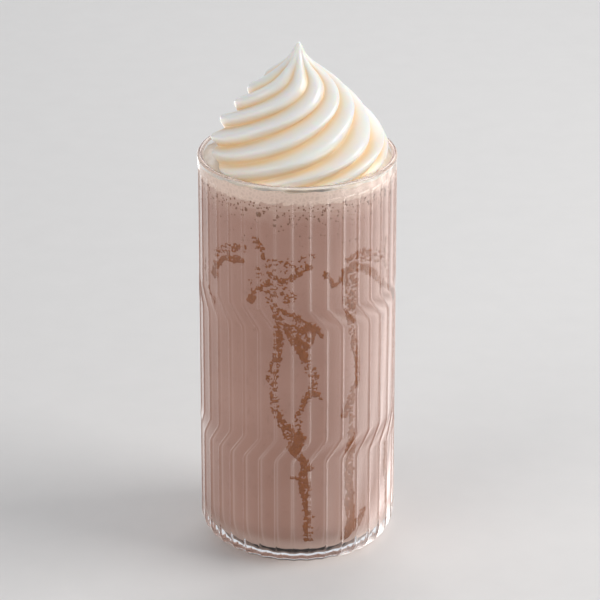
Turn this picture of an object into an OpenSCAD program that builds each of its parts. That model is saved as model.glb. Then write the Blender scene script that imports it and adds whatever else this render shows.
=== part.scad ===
// Chocolate milkshake in a ribbed highball glass with a piped cream swirl.
// Millimetres, +Z up, the glass stands on z = 0 with its axis on the origin.

/* [Glass] */

// Height of the glass from foot to rim
glass_height = 157; // [135:0.5:175]

// Diameter of the glass across the ribs at the foot
glass_diameter = 75; // [65:0.5:86]

// How much narrower the glass is at the rim than at the foot
glass_taper = 0.6; // [0:0.1:6]

// Wall thickness at the rim
rim_wall = 2; // [1.6:0.1:3]

// Wall thickness just above the inside floor
foot_wall = 2.8; // [2.2:0.1:4]

// Thickness of the clear floor under the drink
floor_thickness = 5; // [3:0.5:9]

// Radius of the rounded outside corner at the foot
foot_radius = 10; // [6:0.5:14]

// Radius of the rounded inside corner at the floor
floor_radius = 14; // [8:0.5:18]

// Height of the smooth lip above the ribs
lip_height = 4.5; // [3:0.5:8]

/* [Ribs] */

// Number of ribs around the glass
rib_count = 36; // [24:1:44]

// How far a rib stands out of the panels beside it
rib_depth = 0.5; // [0.2:0.05:0.7]

// Share of the pitch that one rib takes up
rib_share = 0.42; // [0.25:0.01:0.6]

// Angle of the first rib from the front, towards the right
rib_start = -2.9; // [-5:0.1:5]

// Height above the foot of the middle of the lower slanted band
lower_band = 50; // [35:0.5:60]

// Height above the foot of the middle of the upper slanted band
upper_band = 103.5; // [85:0.5:115]

// Height of each slanted band
band_height = 8.5; // [5:0.5:12]

/* [Drink] */

// Depth from the rim down to the top of the froth
froth_drop = 3.5; // [2:0.5:12]

// Thickness of the froth on the drink
froth_thickness = 6.5; // [3:0.5:12]

/* [Cream] */

// Height of the swirl above the froth
cream_height = 46.5; // [35:0.5:55]

// Gap between the widest part of the swirl and the wall at the rim
cream_gap = 2.2; // [1.2:0.1:6]

// Number of piped ridges round the swirl
ridge_count = 9; // [6:1:10]

// Depth of the valleys between ridges, as a share of the radius
ridge_depth = 0.16; // [0.08:0.01:0.22]

// Place of a valley between its two crests, as a share of the way round
valley_place = 0.58; // [0.4:0.01:0.7]

// Turn of the ridges for each millimetre they climb, in degrees
ridge_twist = 5.6; // [3:0.1:7]

// Height where the ridges stop turning and run up into the tip
twist_end = 34; // [25:0.5:38]

// Angle of the first ridge at the tip, from the front towards the right
tip_angle = 45; // [0:1:90]

/* [Hidden] */

$fn = 144;

pitch = 360 / rib_count;
foot_r = glass_diameter / 2;
rim_r = foot_r - glass_taper / 2;
shoulder = glass_height - lip_height;
froth_level = glass_height - froth_drop;
shake_level = froth_level - froth_thickness;
lip_swell = 0.15;
lip_root = 3;
rib_runout = 0.8;
rib_fade = 0.3;

// --- outside of the glass ---

// radius over the ribs at a height on the straight part
function wall_r(z) = foot_r + (rim_r - foot_r) * z / glass_height;

// share of a full pitch that the ribs have moved round at a height
function step_at(z, middle) = min(1, max(0, (middle + band_height / 2 - z) / band_height));
function rib_shift(z) = pitch * (step_at(z, upper_band) - step_at(z, lower_band));

// each row of the ribbed body: [radius over ribs, height, rib depth]
corner_rows = [for (a = [0:22.5:90])
    [foot_r - foot_radius * (1 - sin(a)), foot_radius * (1 - cos(a)),
     rib_depth * (rib_fade + (1 - rib_fade) * sin(a))]];
band_rows = [for (m = [lower_band, upper_band], k = [-0.5, 0, 0.5])
    let (z = m + k * band_height) [wall_r(z), z, rib_depth]];
top_rows = [[wall_r(shoulder - rib_runout), shoulder - rib_runout, rib_depth],
            [wall_r(shoulder), shoulder, 0]];
body_rows = concat(corner_rows, band_rows, top_rows);

// each column of one pitch: [share of the pitch, share of the rib depth lost]
rib_columns = [[0, 0], [rib_share / 2, 1], [1 - rib_share / 2, 1]];
column_count = len(rib_columns) * rib_count;

function body_point(row, i) =
    let (c = rib_columns[i % len(rib_columns)],
         a = rib_start + rib_shift(row[1]) + pitch * (floor(i / len(rib_columns)) + c[0]),
         r = row[0] - row[2] * c[1])
    [r * sin(a), -r * cos(a), row[1]];

// closed skin of rings of n points each, with one point on the axis at both ends
module ring_skin(rings, n, bottom, top) {
    m = len(rings);
    points = concat([[0, 0, bottom]], [for (ring = rings) each ring], [[0, 0, top]]);
    faces = concat(
        [for (i = [0:n - 1]) [0, 1 + i, 1 + (i + 1) % n]],
        [for (j = [0:m - 2], i = [0:n - 1], k = [0, 1])
            let (a = 1 + j * n + i, b = 1 + j * n + (i + 1) % n)
            k == 0 ? [a, a + n, b] : [b, a + n, b + n]],
        [for (i = [0:n - 1]) [m * n + 1, 1 + (m - 1) * n + (i + 1) % n, 1 + (m - 1) * n + i]]);
    polyhedron(points = points, faces = faces, convexity = 6);
}

module ribbed_body() {
    ring_skin([for (row = body_rows) [for (i = [0:column_count - 1]) body_point(row, i)]],
              column_count, 0, shoulder);
}

// --- inside of the glass ---

// radius of the inside wall at a height
function inner_r(z) =
    wall_r(z) - foot_wall + (foot_wall - rim_wall) * (z - floor_thickness)
        / (glass_height - floor_thickness);

// half outline of what fills the glass from the floor up to a level
function fill_outline(level) = concat(
    [[0, floor_thickness]],
    [for (a = [0:10:90]) [inner_r(floor_thickness + floor_radius) - floor_radius * (1 - sin(a)),
                          floor_thickness + floor_radius * (1 - cos(a))]],
    [[inner_r(level), level], [0, level]]);

module lip() {
    panel_r = wall_r(shoulder) - rib_depth;
    edge = rim_wall / 2;
    rotate_extrude()
        polygon(concat(
            [[0, shoulder - lip_root], [panel_r - lip_swell, shoulder - lip_root],
             [panel_r, shoulder - rib_runout], [rim_r + lip_swell, shoulder + rib_runout]],
            [for (a = [0:22.5:90]) [rim_r + lip_swell - edge * (1 - cos(a)),
                                    glass_height - edge * (1 - sin(a))]],
            [[0, glass_height]]));
}

module rim_rounding() {
    edge = rim_wall / 2;
    r = inner_r(glass_height);
    rotate_extrude()
        polygon(concat(
            [[0, glass_height + 1], [0, glass_height - edge]],
            [for (a = [0:22.5:90]) [r + edge * (1 - cos(a)), glass_height - edge * (1 - sin(a))]],
            [[r + edge, glass_height + 1]]));
}

// --- the pieces ---

module glass() {
    color([0.92, 0.95, 0.95, 0.35])
    difference() {
        union() {
            ribbed_body();
            lip();
        }
        rotate_extrude() polygon(fill_outline(glass_height + 1));
        rim_rounding();
    }
}

module milkshake() {
    color([0.6, 0.44, 0.37])
    rotate_extrude() polygon(fill_outline(shake_level));
}

module froth() {
    color([0.83, 0.72, 0.64])
    rotate_extrude()
        polygon([[0, shake_level], [inner_r(shake_level), shake_level],
                 [inner_r(froth_level), froth_level], [0, froth_level]]);
}

// radius of the swirl over its ridges against height, both as shares
cream_profile = [[0, 0.96], [0.06, 0.985], [0.14, 1], [0.22, 0.985], [0.27, 0.955],
                 [0.32, 0.905], [0.42, 0.785], [0.52, 0.675], [0.63, 0.525], [0.71, 0.395],
                 [0.77, 0.285], [0.83, 0.18], [0.89, 0.1], [0.95, 0.05], [1, 0.012]];
cream_columns = 8;
cream_levels = 32;
valley_power = 1.6;
twist_ease = 3;
cream_r = inner_r(glass_height) - cream_gap;

// turn of the ridges at a height above the froth, settling below the tip
function cream_turn(h) =
    let (left = twist_end - h)
    -ridge_twist * (left + sqrt(left * left + twist_ease * twist_ease)) / 2;

// a round crest at 0 and 1 with a narrow valley between them
function valley(u) =
    pow(u < valley_place ? u / valley_place : (1 - u) / (1 - valley_place), valley_power);

function cream_point(h, i) =
    let (u = (i % cream_columns) / cream_columns,
         a = tip_angle + cream_turn(h) + 360 * i / (cream_columns * ridge_count),
         r = cream_r * lookup(h / cream_height, cream_profile)
             * (1 - ridge_depth * valley(u)))
    [r * sin(a), -r * cos(a), froth_level + h];

module whipped_cream() {
    n = cream_columns * ridge_count;
    color([0.95, 0.9, 0.84])
    ring_skin([for (k = [0:cream_levels - 1]) let (h = cream_height * k / cream_levels)
                  [for (i = [0:n - 1]) cream_point(h, i)]],
              n, froth_level, froth_level + cream_height);
}

glass();
milkshake();
froth();
whipped_cream();
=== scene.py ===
import math

import bpy
import numpy as np
from bpy.props import FloatProperty, FloatVectorProperty, IntProperty, PointerProperty
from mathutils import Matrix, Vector


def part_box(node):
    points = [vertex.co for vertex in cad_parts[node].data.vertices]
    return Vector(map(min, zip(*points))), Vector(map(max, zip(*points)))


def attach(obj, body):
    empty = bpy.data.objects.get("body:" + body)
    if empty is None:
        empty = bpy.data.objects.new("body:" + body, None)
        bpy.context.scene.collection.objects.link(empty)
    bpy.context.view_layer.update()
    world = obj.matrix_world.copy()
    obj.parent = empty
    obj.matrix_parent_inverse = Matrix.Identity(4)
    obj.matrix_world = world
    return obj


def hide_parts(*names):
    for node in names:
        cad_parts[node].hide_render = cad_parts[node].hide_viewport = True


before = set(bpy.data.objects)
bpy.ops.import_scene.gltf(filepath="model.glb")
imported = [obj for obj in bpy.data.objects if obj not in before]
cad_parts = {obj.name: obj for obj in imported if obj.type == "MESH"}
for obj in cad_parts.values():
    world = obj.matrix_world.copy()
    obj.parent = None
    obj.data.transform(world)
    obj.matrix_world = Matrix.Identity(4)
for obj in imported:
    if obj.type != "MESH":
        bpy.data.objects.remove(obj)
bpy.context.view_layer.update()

bl_info = {
    "name": "Chocolate Milkshake Maker",
    "version": (1, 0, 0),
    "blender": (4, 5, 0),
    "location": "3D View > Sidebar > Milkshake",
    "description": "Makes a chocolate milkshake in a ribbed glass with a piped cream swirl",
    "category": "Add Mesh",
}

MM = 0.001
GLASS_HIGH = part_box("glass")[1]
SHAKE_LOW, SHAKE_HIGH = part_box("milkshake")
FROTH_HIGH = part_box("froth")[1]
CREAM_LOW, CREAM_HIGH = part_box("whipped_cream")


# ---------------------------------------------------------------- settings


class GlassSettings(bpy.types.PropertyGroup):
    """Sizes of the ribbed glass"""

    radius: FloatProperty(
        name="Radius", description="Radius over the ribs at the foot",
        default=37.45 * MM, unit="LENGTH")
    taper: FloatProperty(
        name="Taper", description="How much smaller the radius is at the rim",
        default=0.3 * MM, unit="LENGTH")
    rim_wall: FloatProperty(
        name="Rim wall", description="Thickness of the wall at the rim",
        default=2.0 * MM, unit="LENGTH")
    foot_wall: FloatProperty(
        name="Foot wall", description="Thickness of the wall just above the floor",
        default=2.8 * MM, unit="LENGTH")
    foot_radius: FloatProperty(
        name="Foot corner", description="Radius of the outside corner at the foot",
        default=10 * MM, unit="LENGTH")
    floor_radius: FloatProperty(
        name="Floor corner", description="Radius of the inside corner at the floor",
        default=14 * MM, unit="LENGTH")
    lip_height: FloatProperty(
        name="Lip", description="Height of the smooth lip above the ribs",
        default=4.5 * MM, unit="LENGTH")
    rib_count: IntProperty(
        name="Ribs", description="Number of ribs around the glass", default=36, min=12, max=60)
    rib_depth: FloatProperty(
        name="Rib depth", description="How far a rib stands out of the panels",
        default=0.5 * MM, unit="LENGTH")
    rib_width: FloatProperty(
        name="Rib width", description="Half width of a rib as a share of the pitch",
        default=0.075, min=0.02, max=0.3)
    rib_start: FloatProperty(
        name="First rib", description="Angle of the first rib from the front",
        default=math.radians(-2.9), subtype="ANGLE")
    lower_band: FloatProperty(
        name="Lower band", description="Height of the middle of the lower slanted band",
        default=50 * MM, unit="LENGTH")
    upper_band: FloatProperty(
        name="Upper band", description="Height of the middle of the upper slanted band",
        default=103.5 * MM, unit="LENGTH")
    band_height: FloatProperty(
        name="Band height", description="Height of each slanted band",
        default=8.5 * MM, unit="LENGTH")


class DrinkSettings(bpy.types.PropertyGroup):
    """Sizes and colours of the milkshake and its froth"""

    reach: FloatProperty(
        name="Reach", description="How far the drink reaches into the wall of the glass",
        default=0.15 * MM, unit="LENGTH")
    froth_edge: FloatProperty(
        name="Froth edge", description="Height where the froth gives way to the milkshake",
        default=149.6 * MM, unit="LENGTH")
    # Painted light: the drink is painted paler behind each rib and across each panel, standing in
    # for light that the ribs gather.
    rib_painted_light: FloatProperty(
        name="Rib glow", description="How much paler the drink is behind each rib",
        default=0.25, min=0, max=1)
    shake_colour: FloatVectorProperty(
        name="Milkshake", description="Colour of the milkshake",
        default=(0.45, 0.258, 0.203), subtype="COLOR", min=0, max=1)
    froth_colour: FloatVectorProperty(
        name="Froth", description="Colour of the froth",
        default=(0.74, 0.57, 0.475), subtype="COLOR", min=0, max=1)
    # Painted shade in the middle of each bubble at the wall.
    bubble_painted_shade: FloatVectorProperty(
        name="Bubbles", description="Colour of the bubbles at the wall",
        default=(0.24, 0.12, 0.07), subtype="COLOR", min=0, max=1)


class SyrupSettings(bpy.types.PropertyGroup):
    """Size and colours of the syrup streaks"""

    thickness: FloatProperty(
        name="Thickness", description="How far the thickest syrup stands into the glass",
        default=0.22 * MM, unit="LENGTH")
    colour: FloatVectorProperty(
        name="Syrup", description="Colour of the thick syrup",
        default=(0.285, 0.095, 0.03), subtype="COLOR", min=0, max=1)
    thin_colour: FloatVectorProperty(
        name="Thin syrup", description="Colour of the syrup where it is thin",
        default=(0.31, 0.105, 0.035), subtype="COLOR", min=0, max=1)


class CreamSettings(bpy.types.PropertyGroup):
    """Sizes and colours of the whipped cream"""

    ridge_count: IntProperty(
        name="Ridges", description="Number of piped ridges", default=9, min=5, max=12)
    ridge_depth: FloatProperty(
        name="Ridge depth", description="Depth of the valleys as a share of the radius",
        default=0.165, min=0.05, max=0.3)
    valley_place: FloatProperty(
        name="Valley place", description="Place of a valley between two crests",
        default=0.6, min=0.3, max=0.8)
    twist: FloatProperty(
        name="Twist", description="Turn of the ridges in each millimetre of height",
        default=math.radians(5.6), subtype="ANGLE")
    twist_end: FloatProperty(
        name="Twist end", description="Height above the froth where the ridges stop turning",
        default=34 * MM, unit="LENGTH")
    tip_angle: FloatProperty(
        name="Tip angle", description="Angle of the first ridge at the tip",
        default=math.radians(45), subtype="ANGLE")
    colour: FloatVectorProperty(
        name="Cream", description="Colour of the cream on its ridges",
        default=(0.95, 0.92, 0.88), subtype="COLOR", min=0, max=1)
    # Painted shade: the flanks and folds between the ridges are painted darker and warmer, as shade
    # with light glowing through the cream.
    flank_painted_shade: FloatVectorProperty(
        name="Flanks", description="Colour half way down between the ridges",
        default=(0.95, 0.83, 0.70), subtype="COLOR", min=0, max=1)
    fold_painted_shade: FloatVectorProperty(
        name="Folds", description="Warmer colour deep between the ridges",
        default=(0.96, 0.70, 0.42), subtype="COLOR", min=0, max=1)


class StageSettings(bpy.types.PropertyGroup):
    """Floor, camera and lights"""

    camera_distance: FloatProperty(
        name="Camera distance", description="Distance from the camera to the glass",
        default=1.2, unit="LENGTH")
    camera_elevation: FloatProperty(
        name="Camera elevation", description="Angle of the camera above the horizon",
        default=math.radians(23.8), subtype="ANGLE")
    camera_lens: FloatProperty(
        name="Lens", description="Focal length of the camera in millimetres",
        default=189.5, min=20, max=400)
    floor_colour: FloatVectorProperty(
        name="Floor", description="Colour of the floor",
        default=(0.78, 0.77, 0.76), subtype="COLOR", min=0, max=1)
    world_colour: FloatVectorProperty(
        name="World", description="Colour of the light from all round",
        default=(0.82, 0.86, 0.92), subtype="COLOR", min=0, max=1)
    world_strength: FloatProperty(
        name="World strength", description="Strength of the light from all round",
        default=0.36, min=0, max=4)


# ---------------------------------------------------------------- curves and noise


def ease(x):
    """Smooth step from 0 to 1."""
    x = np.clip(x, 0.0, 1.0)
    return x * x * (3.0 - 2.0 * x)


def smooth_curve(points, x):
    """Cubic curve through given (x, y) points."""
    px, py = np.array(points, float).T
    slope = np.gradient(py, px)
    i = np.clip(np.searchsorted(px, x, side="right") - 1, 0, len(px) - 2)
    step = px[i + 1] - px[i]
    t = np.clip((x - px[i]) / step, 0.0, 1.0)
    return ((1 + 2 * t) * (1 - t) ** 2 * py[i] + t * (1 - t) ** 2 * step * slope[i]
            + t * t * (3 - 2 * t) * py[i + 1] + t * t * (t - 1) * step * slope[i + 1])


def patch_noise(seed, across, up, turns, rises):
    """Value noise from -1 to 1; across is in turns of a circle, and it closes on itself."""
    grid = np.random.default_rng(seed).uniform(-1, 1, (rises + 2, turns))
    x = np.mod(across, 1.0) * turns
    y = np.clip(up, 0.0, 1.0) * rises
    xi, yi = np.floor(x).astype(int), np.floor(y).astype(int)
    tx, ty = ease(x - xi), ease(y - yi)
    x0, x1 = xi % turns, (xi + 1) % turns
    low = grid[yi, x0] * (1 - tx) + grid[yi, x1] * tx
    high = grid[yi + 1, x0] * (1 - tx) + grid[yi + 1, x1] * tx
    return low * (1 - ty) + high * ty


def fleck_noise(seed, x, y, size, tilt):
    """Value noise from -1 to 1 in square cells of a size, on a grid turned by an angle."""
    cells = 256
    grid = np.random.default_rng(seed).uniform(-1, 1, (cells, cells))
    u = (x * math.cos(tilt) + y * math.sin(tilt)) / size
    v = (y * math.cos(tilt) - x * math.sin(tilt)) / size
    ui, vi = np.floor(u).astype(int), np.floor(v).astype(int)
    tu, tv = ease(u - ui), ease(v - vi)
    u0, u1 = ui % cells, (ui + 1) % cells
    v0, v1 = vi % cells, (vi + 1) % cells
    low = grid[v0, u0] * (1 - tu) + grid[v0, u1] * tu
    high = grid[v1, u0] * (1 - tu) + grid[v1, u1] * tu
    return low * (1 - tv) + high * tv


def around(radius, angle, height):
    """Points at an angle from the front, towards the right."""
    radius, angle, height = np.broadcast_arrays(radius, angle, height)
    return np.stack([radius * np.sin(angle), -radius * np.cos(angle), height], -1)


# ---------------------------------------------------------------- the wall of the glass


class Wall:
    """The outside and inside of the glass, worked out from its settings and the frame."""

    def __init__(self, settings):
        self.s = settings
        self.top = GLASS_HIGH.z
        self.floor = SHAKE_LOW.z
        self.shoulder = self.top - settings.lip_height
        self.pitch = 2 * math.pi / settings.rib_count

    def outer(self, z):
        return self.s.radius - self.s.taper * z / self.top

    def inner(self, z):
        s = self.s
        thinning = (s.foot_wall - s.rim_wall) * (z - self.floor) / (self.top - self.floor)
        return self.outer(z) - s.foot_wall + thinning

    def rib_turn(self, z):
        """Angle that the ribs have moved round at a height."""
        s = self.s
        soft = 0.06
        turn = 0
        for middle, side in ((s.upper_band, 1), (s.lower_band, -1)):
            x = (middle + s.band_height / 2 - z) / s.band_height
            step = (np.sqrt(x * x + soft * soft) - np.sqrt((x - 1) ** 2 + soft * soft) + 1) / 2
            turn = turn + side * np.clip(step, 0, 1)
        return self.pitch * turn

    def panel_drop(self, share):
        """Depth below the crest, as a share of the rib depth, across one pitch."""
        away = np.minimum(share, 1 - share)
        ridge = 1 / (1 + (away / self.s.rib_width) ** 2) ** 1.5
        scoop = 0.5 - 0.5 * np.cos(2 * math.pi * share)
        scoop_share = 0.25
        return (1 - ridge) * (1 - scoop_share) + scoop_share * scoop

    def drink_radius(self, z, reach):
        """Half outline of what fills the glass, reaching just into the wall."""
        s = self.s
        corner = s.floor_radius
        middle = self.floor + corner
        below = np.clip((middle - z) / corner, 0, 1)
        r = np.where(z > middle, self.inner(z),
                     self.inner(middle) - corner * (1 - np.sqrt(1 - below ** 2)))
        return r + reach


# ---------------------------------------------------------------- mesh tools


SHARP_ANGLE = math.radians(55)


def mesh_object(name, points, faces, smooth=True):
    mesh = bpy.data.meshes.new(name)
    mesh.from_pydata(points.reshape(-1, 3).tolist(), [], faces)
    mesh.validate()
    mesh.polygons.foreach_set("use_smooth", [smooth] * len(mesh.polygons))
    mesh.set_sharp_from_angle(angle=SHARP_ANGLE)
    mesh.update()
    piece = bpy.data.objects.new(name, mesh)
    bpy.context.scene.collection.objects.link(piece)
    return piece


def skin(name, rings, first, last):
    """Closed skin through rings of points that run round the axis, with a point at each end."""
    rows, columns = rings.shape[:2]
    points = rings.reshape(-1, 3)
    base = np.arange(columns)
    after = (base + 1) % columns
    faces = []
    for j in range(rows - 1):
        a, b = base + j * columns, after + j * columns
        faces += np.stack([a, b, b + columns, a + columns], -1).tolist()
    low, high, top_row = rows * columns, rows * columns + 1, (rows - 1) * columns
    faces += [[low, int(b), int(a)] for a, b in zip(base, after)]
    faces += [[high, int(top_row + a), int(top_row + b)] for a, b in zip(base, after)]
    return mesh_object(name, np.vstack([points, first, last]), faces)


def float_layer(piece, name, values):
    layer = piece.data.attributes.new(name, "FLOAT", "POINT")
    layer.data.foreach_set("value", np.asarray(values, np.float32).ravel())


def settle(piece, slot, *nodes):
    """Rides on the root body and stands for its CAD nodes; the slot is not used."""
    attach(piece, "root")
    if nodes:
        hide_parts(*nodes)


# ---------------------------------------------------------------- material tools


def new_material(name):
    """A material and its empty node tree."""
    material = bpy.data.materials.new(name)
    material.use_nodes = True
    material.node_tree.nodes.clear()
    return material, material.node_tree


def finished(material, shader):
    """The material with its shader wired to the output."""
    add(material.node_tree, "ShaderNodeOutputMaterial", {"Surface": shader.outputs[0]})
    return material


def add(tree, kind, inputs=None, **fields):
    """Adds a node, sets its fields, and sets or links its inputs."""
    node = tree.nodes.new(kind)
    for key, value in fields.items():
        setattr(node, key, value)
    for key, value in (inputs or {}).items():
        if isinstance(value, bpy.types.NodeSocket):
            tree.links.new(value, node.inputs[key])
        else:
            node.inputs[key].default_value = value
    return node


def ramp(tree, value, stops):
    node = add(tree, "ShaderNodeValToRGB", {"Fac": value})
    elements = node.color_ramp.elements
    while len(elements) < len(stops):
        elements.new(0.5)
    for element, (place, colour) in zip(elements, stops):
        element.position = place
        element.color = (*colour, 1)
    return node.outputs["Color"]


def mix_colour(tree, mask, first, second, blend="MIX"):
    node = add(tree, "ShaderNodeMix", {0: mask}, data_type="RGBA", blend_type=blend)
    for socket, value in ((node.inputs[6], first), (node.inputs[7], second)):
        if isinstance(value, bpy.types.NodeSocket):
            tree.links.new(value, socket)
        else:
            socket.default_value = (*value, 1)
    return node.outputs[2]


def maths(tree, operation, *values, **fields):
    """Output of a maths node on two or three values or sockets."""
    return add(tree, "ShaderNodeMath", dict(enumerate(values)), operation=operation,
               **fields).outputs[0]


def layer(tree, name):
    """Output of a value laid on the points of a piece."""
    return add(tree, "ShaderNodeAttribute", attribute_name=name).outputs["Fac"]


def times(colour, *factors):
    """A colour with each of its channels multiplied."""
    return tuple(min(1, c * f) for c, f in zip(colour, factors))


def group_tree(name, inputs, outputs):
    """Shader node group with named inputs and outputs."""
    tree = bpy.data.node_groups.new(name, "ShaderNodeTree")
    for label, kind, value in inputs:
        socket = tree.interface.new_socket(label, in_out="INPUT", socket_type=kind)
        socket.default_value = value
    for label, kind in outputs:
        tree.interface.new_socket(label, in_out="OUTPUT", socket_type=kind)
    return tree, tree.nodes.new("NodeGroupInput"), tree.nodes.new("NodeGroupOutput")


def froth_line_group():
    """Mask that is 1 in the froth and 0 in the milkshake, with a lumpy edge between."""
    name = "froth_line"
    if name in bpy.data.node_groups:
        return bpy.data.node_groups[name]
    tree, given, result = group_tree(
        name,
        [("Height", "NodeSocketFloat", 0.15), ("Spread", "NodeSocketFloat", 0.003),
         ("Lumps", "NodeSocketFloat", 0.001)],
        [("Mask", "NodeSocketFloat")])
    place = add(tree, "ShaderNodeTexCoord").outputs["Object"]
    up = add(tree, "ShaderNodeSeparateXYZ", {0: place}).outputs["Z"]
    lumps = add(tree, "ShaderNodeTexNoise", {"Vector": place, "Scale": 420, "Detail": 2})
    swell = maths(tree, "SUBTRACT", lumps.outputs["Fac"], 0.5)
    shift = maths(tree, "MULTIPLY", swell, given.outputs["Lumps"])
    above = maths(tree, "SUBTRACT", maths(tree, "ADD", up, shift), given.outputs["Height"])
    share = maths(tree, "DIVIDE", above, given.outputs["Spread"])
    mask = maths(tree, "ADD", share, 0.5, use_clamp=True)
    tree.links.new(mask, result.inputs["Mask"])
    return tree


def fine_grain_group():
    """Small uneven grain as a value round 0.5 and as a bumped normal."""
    name = "fine_grain"
    if name in bpy.data.node_groups:
        return bpy.data.node_groups[name]
    tree, given, result = group_tree(
        name,
        [("Scale", "NodeSocketFloat", 900.0), ("Strength", "NodeSocketFloat", 0.1)],
        [("Value", "NodeSocketFloat"), ("Normal", "NodeSocketVector")])
    place = add(tree, "ShaderNodeTexCoord").outputs["Object"]
    grain = add(tree, "ShaderNodeTexNoise",
                {"Vector": place, "Scale": given.outputs["Scale"], "Detail": 3, "Roughness": 0.6})
    bump = add(tree, "ShaderNodeBump",
               {"Height": grain.outputs["Fac"], "Strength": given.outputs["Strength"],
                "Distance": 0.0002})
    tree.links.new(grain.outputs["Fac"], result.inputs["Value"])
    tree.links.new(bump.outputs["Normal"], result.inputs["Normal"])
    return tree


def use_group(tree, group, **inputs):
    node = tree.nodes.new("ShaderNodeGroup")
    node.node_tree = group
    for key, value in inputs.items():
        node.inputs[key].default_value = value
    return node


# ---------------------------------------------------------------- materials


def glass_material():
    """Clear glass that lets light through to what is inside."""
    material, tree = new_material("clear_glass")
    glass = add(tree, "ShaderNodeBsdfPrincipled",
                {"Base Color": (0.985, 0.992, 0.99, 1), "Roughness": 0.015, "IOR": 1.5,
                 "Transmission Weight": 1.0})
    through = add(tree, "ShaderNodeBsdfTransparent", {"Color": (0.96, 0.97, 0.97, 1)})
    path = add(tree, "ShaderNodeLightPath")
    both = add(tree, "ShaderNodeMixShader",
               {0: path.outputs["Is Shadow Ray"], 1: glass.outputs[0], 2: through.outputs[0]})
    return finished(material, both)


# Painted light: the pale colour laid on the drink behind each rib.
RIB_PAINTED_LIGHT = (0.80, 0.66, 0.60)
# Painted light: the pale colour that lifts the shade at the foot of the drink.
BASE_PAINTED_LIGHT = (0.80, 0.60, 0.52)
# Painted shade: the dark colour under the middle of the drink's underside.
UNDER_PAINTED_SHADE = (0.10, 0.07, 0.06)
# Top of the froth: partly its own paler foam, partly painted light that lifts the shade in the ring
# by the wall.
FROTH_TOP_FOAM_AND_PAINTED_LIGHT = (0.97, 0.92, 0.87)
# Share of the painted rib light that falls off across each panel.
PAINTED_FALL_SHARE = 0.35


def hazy_colour(drink):
    """Colour between the milkshake and the froth."""
    return tuple(0.6 * a + 0.4 * b for a, b in zip(drink.shake_colour, drink.froth_colour))


def drink_material(drink):
    """Milkshake with flecks of cocoa that pales into the froth, with painted light behind the ribs,
    painted light that lifts the shade at its base and painted shade under the middle of its
    underside.
    """
    material, tree = new_material("milkshake_drink")
    line = use_group(tree, froth_line_group(), Height=drink.froth_edge, Spread=0.7 * MM,
                     Lumps=5 * MM)
    haze = use_group(tree, froth_line_group(), Height=drink.froth_edge - 4 * MM,
                     Spread=10 * MM, Lumps=6 * MM)
    grain = use_group(tree, fine_grain_group(), Scale=520.0, Strength=0.015)
    place = add(tree, "ShaderNodeTexCoord").outputs["Object"]
    cloud = add(tree, "ShaderNodeTexNoise", {"Vector": place, "Scale": 28, "Detail": 3})
    deep = times(drink.shake_colour, 0.93, 0.9, 0.88)
    pale = times(drink.shake_colour, 1.05, 1.07, 1.08)
    body = ramp(tree, cloud.outputs["Fac"], [(0.35, deep), (0.65, pale)])
    flecks = ramp(tree, grain.outputs["Value"], [(0.30, (0.80, 0.76, 0.74)), (0.42, (1, 1, 1))])
    flecked = mix_colour(tree, 0.5, body, flecks, "MULTIPLY")
    hazy = mix_colour(tree, haze.outputs["Mask"], flecked, hazy_colour(drink))
    foamed = mix_colour(tree, line.outputs["Mask"], hazy, drink.froth_colour)
    # Painted light: the drink is mixed towards a pale colour behind each rib, fading across each
    # panel.
    both = maths(tree, "MULTIPLY_ADD", layer(tree, "rib_painted_fall"), PAINTED_FALL_SHARE,
                 layer(tree, "rib_painted_line"))
    glow = maths(tree, "MULTIPLY", both, drink.rib_painted_light)
    ribbed = mix_colour(tree, glow, foamed, RIB_PAINTED_LIGHT)
    # Painted light: the foot of the drink is mixed towards a pale colour to lift its shade.
    with_base_light = mix_colour(tree, layer(tree, "base"), ribbed, BASE_PAINTED_LIGHT)
    # Painted shade: the middle of the drink's underside is mixed towards dark.
    colour = mix_colour(tree, layer(tree, "under"), with_base_light, UNDER_PAINTED_SHADE)
    shader = add(tree, "ShaderNodeBsdfPrincipled",
                 {"Base Color": colour, "Roughness": 0.55, "Specular IOR Level": 0.0,
                  "Normal": grain.outputs["Normal"]})
    return finished(material, shader)


def froth_material(drink):
    """Pale foam with small cells."""
    material, tree = new_material("pale_froth")
    line = use_group(tree, froth_line_group(), Height=drink.froth_edge, Spread=0.7 * MM,
                     Lumps=5 * MM)
    grain = use_group(tree, fine_grain_group(), Scale=700.0, Strength=0.2)
    place = add(tree, "ShaderNodeTexCoord").outputs["Object"]
    cells = add(tree, "ShaderNodeTexVoronoi", {"Vector": place, "Scale": 620},
                feature="DISTANCE_TO_EDGE")
    froth = drink.froth_colour
    shade = times(froth, 0.84, 0.8, 0.77)
    light = times(froth, 1.08, 1.09, 1.1)
    foam = ramp(tree, cells.outputs["Distance"], [(0.0, light), (0.16, froth), (0.6, shade)])
    side = mix_colour(tree, line.outputs["Mask"], hazy_colour(drink), foam)
    # The top of the froth takes a paler colour, partly painted light that lifts its shade by the
    # wall.
    colour = mix_colour(tree, layer(tree, "top"), side, FROTH_TOP_FOAM_AND_PAINTED_LIGHT)
    shader = add(tree, "ShaderNodeBsdfPrincipled",
                 {"Base Color": colour, "Roughness": 0.5, "Specular IOR Level": 0.2,
                  "Normal": grain.outputs["Normal"]})
    return finished(material, shader)


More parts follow.
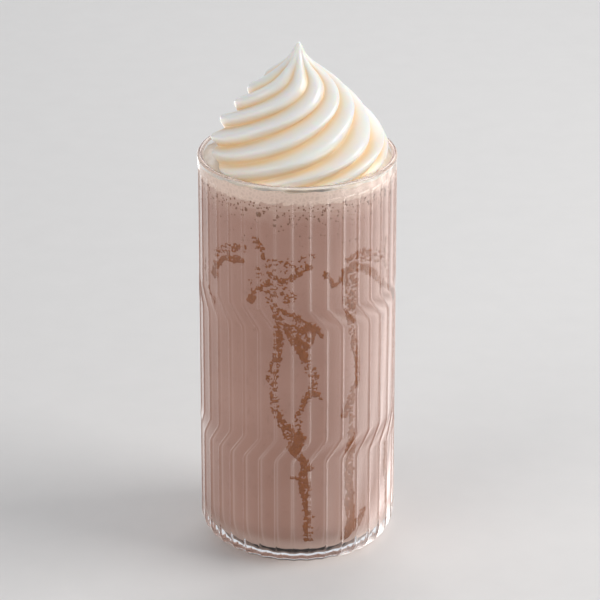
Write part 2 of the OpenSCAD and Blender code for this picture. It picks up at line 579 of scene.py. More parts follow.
def bubble_material(drink):
    """Domes with painted shade, darkest in the middle, that fade into the milkshake at their rims.
    """
    material, tree = new_material("wall_bubbles")
    # Painted shade: each bubble darkens from its rim into its middle.
    rim = times(drink.shake_colour, 0.9, 0.9, 0.9)
    colour = ramp(tree, layer(tree, "depth"), [(0.0, rim), (0.35, drink.bubble_painted_shade)])
    grain = use_group(tree, fine_grain_group(), Scale=900.0, Strength=0.1)
    shader = add(tree, "ShaderNodeBsdfPrincipled",
                 {"Base Color": colour, "Roughness": 0.4, "Specular IOR Level": 0.0,
                  "Normal": grain.outputs["Normal"]})
    return finished(material, shader)


def syrup_material(syrup):
    """Mottled brown syrup, paler where it is thin."""
    material, tree = new_material("chocolate_syrup")
    grain = use_group(tree, fine_grain_group(), Scale=800.0, Strength=0.1)
    blend = ramp(tree, layer(tree, "body"), [(0.0, syrup.thin_colour), (0.8, syrup.colour)])
    mottle = ramp(tree, grain.outputs["Value"],
                  [(0.35, (0.88, 0.87, 0.86)), (0.6, (1.08, 1.08, 1.08))])
    colour = mix_colour(tree, 1.0, blend, mottle, "MULTIPLY")
    shader = add(tree, "ShaderNodeBsdfPrincipled",
                 {"Base Color": colour, "Roughness": 0.35, "Specular IOR Level": 0.0,
                  "Normal": grain.outputs["Normal"]})
    return finished(material, shader)


def cream_material(cream):
    """Soft warm white, with painted shade that grows warmer and darker down the flanks, deep in the
    folds and low on the swirl.
    """
    material, tree = new_material("whipped_cream")
    grain = use_group(tree, fine_grain_group(), Scale=260.0, Strength=0.12)
    # Painted shade from the ridges down into the folds.
    colour = ramp(tree, layer(tree, "painted_fold_shade"),
                  [(0.1, cream.colour), (0.6, cream.flank_painted_shade), (1.0, cream.fold_painted_shade)])
    shader = add(tree, "ShaderNodeBsdfPrincipled",
                 {"Base Color": colour, "Roughness": 0.3, "Specular IOR Level": 0.8,
                  "Subsurface Weight": 0.6, "Subsurface Scale": 0.002,
                  "Subsurface Radius": (1.0, 0.62, 0.36), "Normal": grain.outputs["Normal"]})
    return finished(material, shader)


def floor_material(stage):
    """Plain pale floor with a trace of grain."""
    material, tree = new_material("studio_floor")
    grain = use_group(tree, fine_grain_group(), Scale=60.0, Strength=0.02)
    pale = stage.floor_colour
    worn = times(pale, 0.98, 0.98, 0.98)
    colour = ramp(tree, grain.outputs["Value"], [(0.3, worn), (0.7, pale)])
    shader = add(tree, "ShaderNodeBsdfPrincipled",
                 {"Base Color": colour, "Roughness": 0.7, "Specular IOR Level": 0.2})
    return finished(material, shader)


# ---------------------------------------------------------------- shapes


def rib_columns(count):
    """Angles round the glass in shares of a pitch, close together at each rib."""
    half = np.array([0, 0.012, 0.025, 0.04, 0.057, 0.078, 0.105, 0.14, 0.19, 0.26, 0.34, 0.42, 0.5])
    one = np.concatenate([half, 1 - half[-2:0:-1]])
    return (np.arange(count)[:, None] + one[None, :]).ravel()


def heights_between(low, high, count, end=False):
    return np.linspace(low, high, count, endpoint=end)


def ribbed_glass(wall):
    """Closed skin of the glass: up the ribs, over the lip and down the inside."""
    s = wall.s
    share = rib_columns(s.rib_count)
    drop = wall.panel_drop(np.mod(share, 1.0))
    wave = 0.5 - 0.5 * np.cos(2 * math.pi * share)
    rings = []

    def outside(r, z, depth, waved=0.0):
        angle = s.rib_start + wall.rib_turn(z) + wall.pitch * share
        rings.append(around(r - depth * (drop + waved * (wave - drop)), angle, z))

    def plain(r, z):
        rings.append(around(r, s.rib_start + wall.pitch * share, z))

    foot = s.radius - s.foot_radius
    for r in (0.35 * foot, 0.8 * foot, 0.97 * foot):
        plain(r, 0.0)
    foot_depth, foot_wave = 0.7, 0.9
    for a in np.linspace(0, math.pi / 2, 16):
        z = s.foot_radius * (1 - math.cos(a))
        depth = s.rib_depth * (foot_depth + (1 - foot_depth) * math.sin(a))
        outside(foot + s.foot_radius * math.sin(a), z, depth, foot_wave * math.cos(a))
    half_band = s.band_height * 0.75
    runout = 1.6 * MM
    waist, swell = 0.1 * MM, 0.15 * MM
    straight = [
        heights_between(s.foot_radius, s.lower_band - half_band, 9)[1:],
        heights_between(s.lower_band - half_band, s.lower_band + half_band, 20),
        heights_between(s.lower_band + half_band, s.upper_band - half_band, 9),
        heights_between(s.upper_band - half_band, s.upper_band + half_band, 20),
        heights_between(s.upper_band + half_band, wall.shoulder - runout, 9, True),
    ]
    for z in np.concatenate(straight):
        outside(wall.outer(z), z, s.rib_depth)
    for t in np.linspace(0, 1, 8)[1:]:
        z = wall.shoulder - runout + runout * t
        outside(wall.outer(z) - waist * t, z, s.rib_depth * (1 - float(ease(t))))
    lip = wall.outer(wall.top) + swell
    for t in np.linspace(0, 1, 7)[1:]:
        z = wall.shoulder + (s.lip_height - s.rim_wall / 2) * t
        plain(wall.outer(z) - waist + (waist + swell) * float(ease(t)), z)
    edge = (lip - wall.inner(wall.top)) / 2
    for a in np.linspace(0, math.pi, 15)[1:]:
        plain(lip - edge * (1 - math.cos(a)),
              wall.top - s.rim_wall / 2 + s.rim_wall / 2 * math.sin(a))
    low = wall.floor + s.floor_radius
    for z in heights_between(wall.top - s.rim_wall / 2, low, 14)[1:]:
        plain(wall.inner(z), z)
    for a in np.linspace(math.pi / 2, 0, 12):
        plain(wall.inner(low) - s.floor_radius * (1 - math.sin(a)),
              wall.floor + s.floor_radius * (1 - math.cos(a)))
    plain(0.4 * wall.inner(low), wall.floor)
    return skin("ribbed_glass", np.array(rings), (0, 0, 0), (0, 0, wall.floor))


def rib_painted_light(wall, angle, height):
    """Share of painted light on the drink behind each rib, and its painted fall from light to shade
    across each panel.
    """
    share = np.mod((angle - wall.s.rib_start - wall.rib_turn(height)) / wall.pitch, 1.0)
    away = np.minimum(share, 1 - share)
    line = np.exp(-(away / wall.s.rib_width) ** 2)
    fall = np.clip(1 - share / 0.7, 0, 1) ** 2
    low_tier = ease((wall.s.lower_band - height) / wall.s.band_height + 0.5)
    return line * (0.4 + 0.6 * low_tier), fall * (0.35 + 0.65 * low_tier)


def milkshake_body(wall, drink):
    """What fills the glass up to the froth, with painted shade on the middle of its underside and
    painted light behind the ribs and at its base.
    """
    columns_per_rib = 14
    corner_steps, wall_steps = 20, 190
    base_light_height = 9 * MM
    shaded_rings = 2
    count = wall.s.rib_count * columns_per_rib
    angle = wall.s.rib_start + np.arange(count) * 2 * math.pi / count
    corner = wall.s.floor_radius
    low = wall.floor - drink.reach
    middle = wall.floor + corner
    flat = wall.inner(middle) - corner
    rings = [around(share * flat, angle, low) for share in (0.4, 0.76, 0.8)]
    for a in np.linspace(0, math.pi / 2, corner_steps):
        rings.append(around(flat + (corner + drink.reach) * math.sin(a), angle,
                            middle - (corner + drink.reach) * math.cos(a)))
    for z in np.linspace(middle, SHAKE_HIGH.z, wall_steps)[1:]:
        rings.append(around(wall.inner(z) + drink.reach, angle, z))
    rings.append(around(0.6 * flat, angle, SHAKE_HIGH.z))
    rings = np.array(rings)
    piece = skin("milkshake_drink", rings, (0, 0, low), (0, 0, SHAKE_HIGH.z))
    # Painted light behind the ribs and across the panels, laid on the points of the drink.
    line, fall = rib_painted_light(wall, angle[None, :] + 0 * rings[..., 2], rings[..., 2])
    float_layer(piece, "rib_painted_line", np.concatenate([line.ravel(), [0, 0]]))
    float_layer(piece, "rib_painted_fall", np.concatenate([fall.ravel(), [0, 0]]))
    # Painted light at the foot of the drink, fading out up to the base height.
    base = 1 - ease((rings[..., 2] - low) / base_light_height)
    float_layer(piece, "base", np.concatenate([base.ravel(), [1, 0]]))
    # Painted shade on the middle of the underside, seen as a dark line along the foot of the drink.
    under = np.zeros(rings.shape[:2])
    under[:shaded_rings] = 1
    float_layer(piece, "under", np.concatenate([under.ravel(), [1, 0]]))
    return piece


def froth_layer(wall, drink):
    """Foam whose top is lumpy and climbs a little at the wall."""
    climb, sink, sink_width = 1.2 * MM, 1.9 * MM, 1.1
    side_steps = 10
    angle = np.linspace(0, 2 * math.pi, 360, endpoint=False)
    turn = angle / (2 * math.pi)
    low, high = SHAKE_HIGH.z, FROTH_HIGH.z
    middle = high - 0.6 * MM
    rings = [around(0.5 * wall.inner(low), angle, low)]
    small = 0.35 * MM * patch_noise(11, turn, turn * 0, 70, 1)
    large = 0.25 * MM * patch_noise(12, turn, turn * 0, 24, 1)
    top_line = high + climb + small + large
    for t in np.linspace(0, 1, side_steps):
        z = low + (top_line - low) * t
        rings.append(around(wall.inner(z) + drink.reach, angle, z))
    rim = wall.inner(high) + drink.reach
    for k, inward in enumerate((0.25, 0.6, 1.0, 1.5, 2.1, 2.8, 3.6, 4.5, 6.0)):
        dip = sink * (1 - math.exp(-inward / sink_width))
        lumps = 0.0
        if inward < 5:
            lumps = 0.32 * MM * patch_noise(20 + k, turn, turn * 0, 110 - 5 * k, 1)
        rings.append(around(rim - inward * MM, angle, top_line - dip + lumps))
    rings.append(around(0.6 * rim, angle, middle))
    piece = skin("froth_layer", np.array(rings), (0, 0, low), (0, 0, middle))
    # Marks the top of the froth for its paler colour, which is partly painted light.
    top = np.repeat(np.arange(len(rings)) > side_steps, len(angle))
    float_layer(piece, "top", np.concatenate([top, [0, 1]]))
    return piece


# Outline of the swirl over its crests: height above the froth and radius in mm.
CREAM_PROFILE = [(0, 31.2), (2.5, 32.4), (6, 33.0), (10, 32.6), (12.5, 31.4), (15, 29.4),
                 (19.5, 25.7), (24, 22.2), (29, 17.4), (33, 13.0), (36, 9.3), (39, 5.5),
                 (42, 2.9), (45, 1.3), (46.5, 0.35)]


def ridge_drop(u, valley_place):
    """Share of the ridge depth lost from one crest (u=0) to the next (u=1)."""
    def rounded(x, roundness):
        start = np.sqrt(x * x + roundness * roundness) - roundness
        return start / (math.sqrt(1 + roundness * roundness) - roundness)

    crest, valley = 0.45, 0.08
    fall = np.where(u < valley_place, u / valley_place, (1 - u) / (1 - valley_place))
    return 1 - rounded(1 - rounded(fall, crest), valley)


def cream_swirl(cream):
    """Closed skin of ridges that wind up into the tip, each a little uneven."""
    columns, rows = 34 * cream.ridge_count, 190
    high = CREAM_HIGH.z - CREAM_LOW.z
    h = (high * np.linspace(0, 1, rows) ** 0.96)[:, None]
    h_mm = h / MM
    base = 2 * math.pi * np.arange(columns)[None, :] / columns
    left = (cream.twist_end - h) / MM
    turn = -cream.twist * (left + np.sqrt(left * left + 6)) / 2
    turns = base / (2 * math.pi) + 0 * h
    rise = h / high + 0 * base
    sway = 0.05 * patch_noise(31, turns, rise, 8, 5)
    angle = cream.tip_angle + turn + base + sway
    u = np.mod(base * cream.ridge_count / (2 * math.pi) + 0 * h, 1.0)
    drop = ridge_drop(u, cream.valley_place)
    crest = smooth_curve(CREAM_PROFILE, h_mm) * MM
    depth = cream.ridge_depth * (1 + 0.22 * patch_noise(32, turns, rise, 8, 6))
    depth = depth * (0.3 + 0.7 * ease(h_mm / 18)) * (1 - 0.75 * ease((h_mm - 38) / 8))
    swell = 1 + 0.012 * patch_noise(33, turns, rise, 10, 9)
    fine = 0.05 * MM * patch_noise(34, turns, rise, 90, 60)
    radius = crest * swell * (1 - depth * drop) + fine * ease((40 - h_mm) / 10)
    bend = (0.7 * (1 - ease(h_mm / 24)) + 0.5 * ease((h_mm - 30) / 16)) * MM
    rings = around(radius, angle, CREAM_LOW.z + h)
    rings[..., 0] += bend
    foot = around(0.5 * radius[0], angle[0], CREAM_LOW.z)
    rings = np.concatenate([foot[None], rings])
    tip = Vector((rings[-1, :, 0].mean(), 0, CREAM_HIGH.z))
    rings[-1, :, 2] = CREAM_HIGH.z - 0.15 * MM
    piece = skin("cream_swirl", rings, (0, 0, CREAM_LOW.z), tip)
    # Painted shade deep between the ridges and low on the swirl, fading out towards the tip.
    painted_fold_shade = np.clip(drop + 0.3 * (1 - ease(h_mm / 24)), 0, 1) * (1 - ease((h_mm - 36) / 8))
    painted_fold_shade = np.concatenate([painted_fold_shade[:1], painted_fold_shade])
    float_layer(piece, "painted_fold_shade", np.concatenate([painted_fold_shade.ravel(), [0, 0]]))
    return piece


# Each streak of syrup: half width in mm, how solid it is from 0 (a few specks) to 1, and its
# route as (angle, height) in degrees and mm.
STREAKS = [
    (1.7, 0.45, [(-57, 125), (-50, 128), (-43, 129.5), (-33, 130.5)]),
    (2.6, 0.18, [(-54, 125), (-40, 128)]),
    (1.4, 0.88, [(-60, 116), (-57, 120.5), (-51, 123), (-45, 125), (-40, 124.5), (-35, 125)]),
    (1.3, 0.9, [(-58.5, 115.5), (-58, 118.5)]),
    (0.8, 0.45, [(-71, 118), (-70.5, 112), (-65, 106.5), (-58, 104.5)]),
    (1.4, 0.35, [(-24, 135), (-21.5, 132), (-20.5, 129)]),
    (1.5, 0.35, [(-24, 122.5), (-21.5, 120)]),
    (1.4, 0.95, [(-28.5, 110), (-27, 112.5)]),
    (0.9, 0.75, [(-27, 112.5), (-24, 115.5), (-20.5, 115.5)]),
    (0.7, 0.4, [(-29.5, 118.5), (-29, 114)]),
    (1.3, 0.7, [(-15.5, 122), (-11, 120), (-6.5, 119.5), (-3, 121.5), (1.5, 123), (6, 125)]),
    (1.2, 0.95, [(5, 125.5), (7, 125)]),
    (2.6, 0.04, [(-14.5, 126), (-7, 125), (-1, 126.5), (7.5, 129)]),
    (3.0, 0.2, [(-17.5, 117.5), (-10, 115), (-4, 112)]),
    (1.7, 0.42, [(-17.5, 117.5), (-14.5, 110), (-11.5, 104)]),
    (0.9, 0.8, [(-11, 108), (-4, 106), (1.5, 104), (7, 102.5), (11, 100.5), (15, 97)]),
    (1.5, 0.9, [(6, 100.2), (12, 99.8)]),
    (1.4, 0.9, [(-6, 101), (-2, 96), (1.5, 91), (5, 87.5)]),
    (1.1, 0.6, [(10.5, 100), (7, 95), (5, 87.5)]),
    (2.0, 0.95, [(0.5, 95.5), (3.5, 92)]),
    (3.0, 0.35, [(-1, 101), (4, 98)]),
    (1.8, 0.62, [(-11.5, 106), (-10, 100), (-11.5, 92)]),
    (1.2, 0.85, [(-10.5, 98), (-11.5, 92)]),
    (1.9, 0.45, [(-11.5, 92), (-13.5, 85.5), (-16, 79), (-14, 75), (-12.5, 68), (-9, 60.5)]),
    (1.7, 0.42, [(5, 87), (7.5, 83), (11, 80), (9.5, 74.5)]),
    (1.2, 0.95, [(5.5, 73), (9, 74), (12.5, 73)]),
    (0.6, 0.85, [(12.5, 73), (15, 71)]),
    (1.3, 0.5, [(4.5, 72.5), (1, 64.5), (1.5, 59)]),
    (2.2, 0.78, [(-8, 60.5), (-4.5, 57), (1.5, 55.5)]),
    (2.5, 0.95, [(0, 56), (-1.5, 50.5)]),
    (1.8, 0.85, [(-2, 50.5), (4, 45), (6, 43)]),
    (1.8, 0.82, [(4.5, 44.5), (3.5, 39), (5, 31.5)]),
    (1.2, 0.8, [(5, 31.5), (6, 24), (5.5, 18), (6.5, 11.5)]),
    (0.5, 0.7, [(3, 39), (-2.5, 39)]),
    (0.5, 0.75, [(6, 22.5), (10, 22)]),
    (0.5, 0.75, [(6, 19), (10, 15)]),
    (1.1, 0.8, [(17, 122), (21, 116.5), (26, 118.5), (30, 122), (35, 124.5)]),
    (2.6, 0.42, [(33.5, 126), (42, 126.5), (56, 123)]),
    (1.5, 0.85, [(30, 122), (37, 122.5), (44, 121), (51.5, 117), (62, 111.5), (71.5, 107)]),
    (1.2, 0.68, [(29.5, 122), (30, 115), (31.5, 108), (33.5, 101)]),
    (1.2, 0.62, [(37.5, 119.5), (36.5, 113), (35.5, 105.5), (34, 101)]),
    (1.5, 0.95, [(33, 102.5), (34.5, 101)]),
    (2.0, 0.35, [(34, 118), (33.5, 106)]),
    (1.5, 0.65, [(34.5, 98.5), (35.5, 92), (38, 84.5), (39.5, 77)]),
    (1.4, 0.72, [(39.5, 77), (36, 72.5), (33, 67), (30, 63)]),
    (1.0, 0.9, [(31, 64), (29.5, 62.5)]),
    (1.1, 0.6, [(33, 66.5), (35, 60), (35, 55)]),
    (1.6, 0.92, [(35.5, 55), (34.5, 50)]),
    (2.0, 0.82, [(35, 54), (34.5, 45.5), (33.5, 36), (33.5, 26)]),
    (2.4, 0.92, [(33, 24.5), (34.5, 18), (34, 10.5)]),
    (1.6, 0.7, [(45.5, 20), (41.5, 16.5), (39.5, 13.5)]),
    (1.1, 0.75, [(66.5, 43), (67.5, 34.5), (69, 26.5), (69.5, 17.5)]),
    (1.0, 0.6, [(65, 128.5), (63.5, 122), (67, 113)]),
]

# The same pour runs down the sides and back: where each copy is turned to, its side, its drop
# and how many degrees of it are used to each side.
POURS = [(0, 1, 0.0, 90), (118, -1, -3.0, 30), (-122, 1, -4.0, 30), (174, 1, 3.0, 90)]

# How far in mm the streaks stray from their routes, how far their grid is searched beyond their
# half width, and how deep inside them the flecks still make holes.
STRAY = 0.7
SEARCH = 3
SKIN = 0.55


def streak_field(angle, height, wall):
    """Distance inside the streaks in mm, over a grid of angles and heights."""
    field = np.full(angle.shape, -9.0)
    turn, rise = angle / (2 * math.pi), height / (160 * MM)
    radius_mm = wall.inner(80 * MM) / MM
    x_mm, z_mm = angle * radius_mm, height / MM
    large_flecks = fleck_noise(51, x_mm, z_mm, 1.0, 0.4)
    small_flecks = fleck_noise(52, x_mm, z_mm, 0.6, 1.1)
    grain = 0.55 * large_flecks + 0.75 * small_flecks
    sway_a = patch_noise(53, turn, rise, 60, 42)
    sway_b = patch_noise(54, turn, rise, 60, 42)
    for turned, side, drop, reach in POURS:
        for half_width, solid, route in STREAKS:
            if max(abs(a) for a, _ in route) > reach:
                continue
            points = [(math.radians(turned + side * a), z + drop) for a, z in route]
            gap = 1 - solid
            sparse = 0.35 * gap + 0.75 * gap * gap
            for (a0, z0), (a1, z1) in zip(points, points[1:]):
                a_mid, z_mid = (a0 + a1) / 2, (z0 + z1) / 2
                ex, ez = (a1 - a0) * radius_mm / 2, (z1 - z0) / 2
                rows = np.abs(height[:, 0] / MM - z_mid) < abs(ez) + half_width + SEARCH
                away = np.mod(angle[0] - a_mid + math.pi, 2 * math.pi) - math.pi
                near = np.abs(away) < (abs(ex) + half_width + SEARCH) / radius_mm
                at = np.ix_(rows, near)
                dx = away[near][None, :] * radius_mm + STRAY * sway_a[at]
                dz = height[at] / MM - z_mid + STRAY * sway_b[at]
                t = np.clip((dx * ex + dz * ez) / (ex * ex + ez * ez + 1e-9), -1, 1)
                inside = half_width - np.hypot(dx - t * ex, dz - t * ez)
                speckle = (0.6 + 1.1 * gap) * grain[at] - sparse
                field[at] = np.maximum(field[at], np.minimum(inside, SKIN) + speckle)
    return field


def syrup_streaks(wall, drink, syrup):
    """Thin skin of syrup between the drink and the wall, closed at its back."""
    columns, rows = 1200, 700
    full = 0.6
    low, high = 8 * MM, 136 * MM
    angle, height = np.meshgrid(np.linspace(-math.pi, math.pi, columns, endpoint=False),
                                np.linspace(low, high, rows))
    field = streak_field(angle, height, wall)
    body = ease((field + 0.05) / full)
    drink_side = wall.drink_radius(height, drink.reach)
    front = drink_side + syrup.thickness * np.clip(field / full, -0.4, 1)
    back = drink_side - 0.25 * MM
    across = (np.arange(columns) + 1) % columns
    grid = np.arange(rows * columns).reshape(rows, columns)
    quads = np.stack([grid[:-1], grid[:-1][:, across], grid[1:][:, across], grid[1:]], -1)
    quads = quads.reshape(-1, 4)
    keep = (field.ravel()[quads] > 0).any(1)
    quads = quads[keep]
    edges = {}
    for q in quads.tolist():
        for p, r in zip(q, q[1:] + q[:1]):
            if (r, p) in edges:
                del edges[(r, p)]
            else:
                edges[(p, r)] = True
    total = rows * columns
    sides = [[r, p, p + total, r + total] for p, r in edges]
    faces = quads.tolist() + (quads[:, ::-1] + total).tolist() + sides
    points = np.concatenate([around(front, angle, height).reshape(-1, 3),
                             around(back, angle, height).reshape(-1, 3)])
    used = np.unique([i for f in faces for i in f])
    number = np.full(len(points), -1)
    number[used] = np.arange(len(used))
    faces = [[int(number[i]) for i in f] for f in faces]
    piece = mesh_object("syrup_streaks", points[used], faces)
    float_layer(piece, "body", np.concatenate([body.ravel(), body.ravel()])[used])
    return piece


# Bubbles at the wall: angle in degrees, height and radius in mm.
LARGE_BUBBLES = [(-31.5, 146, 0.7), (-23, 145, 1.05), (-43, 148.5, 0.45), (-37, 147.5, 0.55),
                 (-18, 148, 0.45), (19, 149, 0.6), (16.5, 147, 0.5), (29, 149.5, 0.5),
                 (10, 145, 0.4), (12.5, 144, 0.45), (-4, 143.5, 0.35), (-28, 139, 0.35),
                 (1.5, 137.5, 0.35), (15, 145.5, 0.4), (-48, 147, 0.35), (40, 148, 0.4)]


SMALL_BUBBLES = 520
BUBBLE_LINE = 149.5
DEEPEST_BUBBLE = 16


def bubble_field():
    """Places and sizes of the bubbles at the wall: (angle, height, radius) rows."""
    rng = np.random.default_rng(7)
    rows = list(LARGE_BUBBLES)
    for turned in (95, -95, 180):
        rows += [(a + turned, z, r) for a, z, r in LARGE_BUBBLES]
    for _ in range(SMALL_BUBBLES):
        depth = min(rng.gamma(1.5, 3.6), DEEPEST_BUBBLE)
        rows.append((rng.uniform(-180, 180), BUBBLE_LINE - depth, rng.uniform(0.2, 0.42)))
    return rows


def wall_bubbles(wall, drink):
    """Small shallow domes where air meets the wall."""
    sides = 10
    steps = (1.0, 0.8, 0.45)
    sunk, stands, behind = -0.05 * MM, 0.14 * MM, 0.2 * MM
    points, faces, depth = [], [], []
    spin = np.linspace(0, 2 * math.pi, sides, endpoint=False)
    for turned, high, size in bubble_field():
        a0, z0, r0 = math.radians(turned), high * MM, size * MM
        start = len(points)
        for k in steps:
            stand = sunk + stands * math.sqrt(1 - 0.9 * k * k)
            for b in spin:
                z = z0 + r0 * k * math.sin(b) * 1.15
                r = wall.inner(z) + drink.reach + stand
                points.append(around(r, a0 + r0 * k * math.cos(b) / r, z).tolist())
                depth.append(1 - k)
        r = wall.inner(z0) + drink.reach
        points.append(around(r + sunk + stands, a0, z0).tolist())
        points.append(around(r - behind, a0, z0).tolist())
        depth += [1, 0]
        top, under = len(points) - 2, len(points) - 1
        for i in range(sides):
            j = (i + 1) % sides
            for level in range(len(steps) - 1):
                p = start + level * sides
                faces.append([p + i, p + j, p + sides + j, p + sides + i])
            last = start + (len(steps) - 1) * sides
            faces.append([last + i, last + j, top])
            faces.append([start + j, start + i, under])
    piece = mesh_object("wall_bubbles", np.array(points), faces)
    float_layer(piece, "depth", depth)
    return piece


# ---------------------------------------------------------------- operators


class MILKSHAKE_OT_glass(bpy.types.Operator):
    """Make the ribbed highball glass"""

    bl_idname = "milkshake.glass"
    bl_label = "Ribbed Glass"

    def execute(self, context):
        piece = ribbed_glass(Wall(context.scene.milkshake_glass))
        piece.data.materials.append(glass_material())
        settle(piece, "glass", "glass")
        return {"FINISHED"}


class MILKSHAKE_OT_drink(bpy.types.Operator):
    """Fill the glass with the milkshake"""

    bl_idname = "milkshake.drink"
    bl_label = "Milkshake"

    def execute(self, context):
        drink = context.scene.milkshake_drink
        piece = milkshake_body(Wall(context.scene.milkshake_glass), drink)
        piece.data.materials.append(drink_material(drink))
        settle(piece, "milkshake", "milkshake")
        return {"FINISHED"}


class MILKSHAKE_OT_froth(bpy.types.Operator):
    """Lay the froth on the milkshake, with bubbles at the wall"""

    bl_idname = "milkshake.froth"
    bl_label = "Froth and Bubbles"

    def execute(self, context):
        drink = context.scene.milkshake_drink
        wall = Wall(context.scene.milkshake_glass)
        froth = froth_layer(wall, drink)
        froth.data.materials.append(froth_material(drink))
        settle(froth, "froth", "froth")
        bubbles = wall_bubbles(wall, drink)
        bubbles.data.materials.append(bubble_material(drink))
        settle(bubbles, "milkshake")
        return {"FINISHED"}


class MILKSHAKE_OT_syrup(bpy.types.Operator):
    """Run streaks of chocolate syrup down the inside of the wall"""

    bl_idname = "milkshake.syrup"
    bl_label = "Syrup Streaks"

    def execute(self, context):
        scene = context.scene
        piece = syrup_streaks(Wall(scene.milkshake_glass), scene.milkshake_drink,
                              scene.milkshake_syrup)
        piece.data.materials.append(syrup_material(scene.milkshake_syrup))
        settle(piece, "syrup")
        return {"FINISHED"}


class MILKSHAKE_OT_cream(bpy.types.Operator):
    """Pipe the swirl of whipped cream"""

    bl_idname = "milkshake.cream"
    bl_label = "Whipped Cream"

    def execute(self, context):
        cream = context.scene.milkshake_cream
        piece = cream_swirl(cream)
        piece.data.materials.append(cream_material(cream))
        settle(piece, "whipped_cream", "whipped_cream")
        return {"FINISHED"}


def fan_glow(lamp, stops):
    """Lets a lamp that lies on the floor glow by direction round the glass; stops are
    (degrees from the front towards the right, share of its strength)."""
    tree = lamp.data.node_tree
    place = add(tree, "ShaderNodeNewGeometry").outputs["Parametric"]
    middle = add(tree, "ShaderNodeVectorMath", {0: place, 1: (0.5, 0.5, 0.0)}, operation="SUBTRACT")
    parts = add(tree, "ShaderNodeSeparateXYZ", {0: middle.outputs[0]})
    azimuth = maths(tree, "ARCTAN2", parts.outputs["X"], parts.outputs["Y"])
    share = add(tree, "ShaderNodeMapRange",
                {"Value": azimuth, "From Min": -math.pi, "From Max": math.pi})
    glow = ramp(tree, share.outputs[0], [((a + 180) / 360, (g, g, g)) for a, g in stops])
    away = add(tree, "ShaderNodeVectorMath", {0: middle.outputs[0]}, operation="LENGTH")
    fade = add(tree, "ShaderNodeMapRange",
               {"Value": away.outputs["Value"], "From Min": 0.34, "From Max": 0.48},
               interpolation_type="SMOOTHSTEP")
    strength = mix_colour(tree, fade.outputs[0], glow, (0.2, 0.2, 0.2))
    tree.links.new(strength, tree.nodes["Emission"].inputs["Strength"])


def area_light(name, place, target, size, power, colour, **shown):
    data = bpy.data.lights.new(name, "AREA")
    data.shape = "RECTANGLE"
    data.size, data.size_y = size
    data.energy = power
    data.color = colour
    lamp = bpy.data.objects.new(name, data)
    lamp.location = place
    lamp.rotation_euler = (Vector(target) - Vector(place)).to_track_quat("-Z", "Y").to_euler()
    for key, value in shown.items():
        setattr(lamp, key, value)
    bpy.context.scene.collection.objects.link(lamp)
    return lamp


# Glow of the lamp on the floor by direction. An upright wall at an angle mirrors the floor at
# twice that angle: on the right the lamp is dim where the panels look and bright between, so the
# ribs there carry white lines and the panels a thin veil. On the left it is nearly dark.
FAN = [(-180, 0.2), (-166, 0.6), (-152, 0.1), (-60, 0.05), (-20, 0.02), (12, 0.02), (28, 0.1),
       (36, 0.35), (44, 0.15), (54, 0.75), (64, 0.3), (74, 0.95), (84, 0.3), (94, 0.9), (104, 0.3),
       (114, 0.75), (124, 0.15), (134, 0.4), (144, 0.0), (158, 0.0), (170, 0.1), (180, 0.2)]


# Soft lamps: name, place, size and power in watts, and colour.
LAMPS = [
    ("key_softbox", (0.8, -0.1, 0.7), (0.6, 0.6), 6.2, (1.0, 0.985, 0.97)),
    ("left_fill", (-0.8, -0.6, 0.5), (0.7, 0.9), 3.8, (1.0, 0.96, 0.93)),
    ("back_light", (0.1, 0.9, 0.8), (0.9, 0.6), 4, (1.0, 0.98, 0.96)),
]
FAN_SIZE, FAN_POWER, FAN_COLOUR = (1.3, 1.3), 24, (1.0, 0.99, 0.98)
MIRROR_BOOST = 0.5


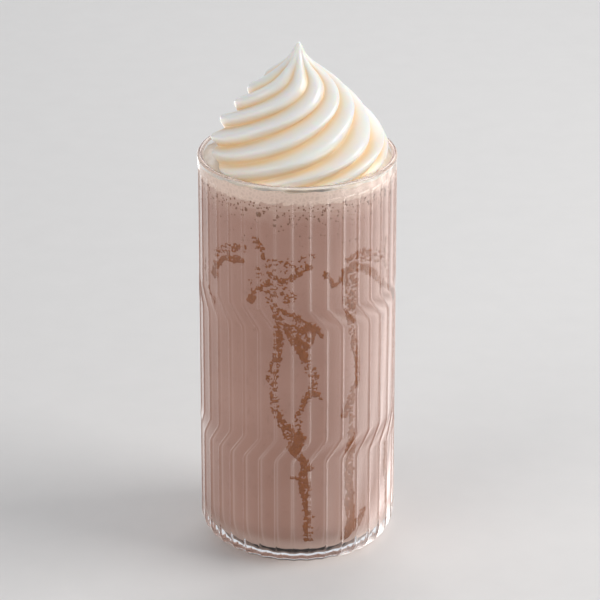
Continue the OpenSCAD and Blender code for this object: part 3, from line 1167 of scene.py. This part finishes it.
class MILKSHAKE_OT_stage(bpy.types.Operator):
    """Set up the floor, the camera and the lights"""

    bl_idname = "milkshake.stage"
    bl_label = "Stage"

    def execute(self, context):
        scene, stage = context.scene, context.scene.milkshake_stage
        size = 3.0
        corners = [(-size, -size, 0), (size, -size, 0), (size, size, 0), (-size, size, 0)]
        floor = mesh_object("floor", np.array(corners, float), [[0, 1, 2, 3]], smooth=False)
        floor.location.z = -0.2 * MM
        floor.data.materials.append(floor_material(stage))

        world = bpy.data.worlds.new("studio")
        world.use_nodes = True
        background = world.node_tree.nodes["Background"]
        background.inputs["Color"].default_value = (*stage.world_colour, 1)
        path = add(world.node_tree, "ShaderNodeLightPath").outputs
        mirrored = maths(world.node_tree, "MAXIMUM", path["Is Glossy Ray"],
                         path["Is Transmission Ray"])
        strength = maths(world.node_tree, "MULTIPLY_ADD", mirrored, MIRROR_BOOST,
                         stage.world_strength)
        world.node_tree.links.new(strength, background.inputs["Strength"])
        scene.world = world
        scene.view_settings.view_transform = "Standard"

        middle = Vector((0.001, 0, 0.0964))
        for name, place, lamp_size, power, colour in LAMPS:
            area_light(name, place, middle, lamp_size, power, colour, visible_transmission=False)
        fan = area_light("floor_fan", (0, 0, 1 * MM), (0, 0, 1), FAN_SIZE, FAN_POWER, FAN_COLOUR,
                         visible_camera=False, visible_diffuse=False, visible_transmission=False,
                         visible_volume_scatter=False)
        fan.rotation_euler = (math.pi, 0, 0)
        fan.data.use_nodes = True
        fan_glow(fan, FAN)

        data = bpy.data.cameras.new("camera")
        data.lens = stage.camera_lens
        data.sensor_width = 36
        data.clip_start, data.clip_end = 0.05, 20
        camera = bpy.data.objects.new("camera", data)
        back = stage.camera_distance
        tilt = stage.camera_elevation
        camera.location = middle + Vector((0, -back * math.cos(tilt), back * math.sin(tilt)))
        camera.rotation_euler = (math.pi / 2 - tilt, 0, 0)
        scene.collection.objects.link(camera)
        scene.camera = camera
        return {"FINISHED"}


class MILKSHAKE_PT_panel(bpy.types.Panel):
    """Lists the pieces of the milkshake"""

    bl_idname = "MILKSHAKE_PT_panel"
    bl_label = "Milkshake"
    bl_space_type = "VIEW_3D"
    bl_region_type = "UI"
    bl_category = "Milkshake"

    def draw(self, context):
        for maker in MAKERS:
            self.layout.operator(maker.bl_idname)
        for name in SETTINGS:
            box = self.layout.box()
            group = getattr(context.scene, name)
            for key in group.bl_rna.properties.keys():
                if key not in ("rna_type", "name"):
                    box.prop(group, key)


SETTINGS = {
    "milkshake_glass": GlassSettings,
    "milkshake_drink": DrinkSettings,
    "milkshake_syrup": SyrupSettings,
    "milkshake_cream": CreamSettings,
    "milkshake_stage": StageSettings,
}
MAKERS = [MILKSHAKE_OT_stage, MILKSHAKE_OT_glass, MILKSHAKE_OT_drink, MILKSHAKE_OT_froth,
          MILKSHAKE_OT_syrup, MILKSHAKE_OT_cream]


def register():
    for kind in (*SETTINGS.values(), *MAKERS, MILKSHAKE_PT_panel):
        bpy.utils.register_class(kind)
    for name, kind in SETTINGS.items():
        setattr(bpy.types.Scene, name, PointerProperty(type=kind))


def unregister():
    for name in SETTINGS:
        delattr(bpy.types.Scene, name)
    for kind in reversed((*SETTINGS.values(), *MAKERS, MILKSHAKE_PT_panel)):
        bpy.utils.unregister_class(kind)


def main():
    register()
    bpy.ops.milkshake.stage()
    bpy.ops.milkshake.glass()
    bpy.ops.milkshake.drink()
    bpy.ops.milkshake.froth()
    bpy.ops.milkshake.syrup()
    bpy.ops.milkshake.cream()


if __name__ == "__main__":
    main()
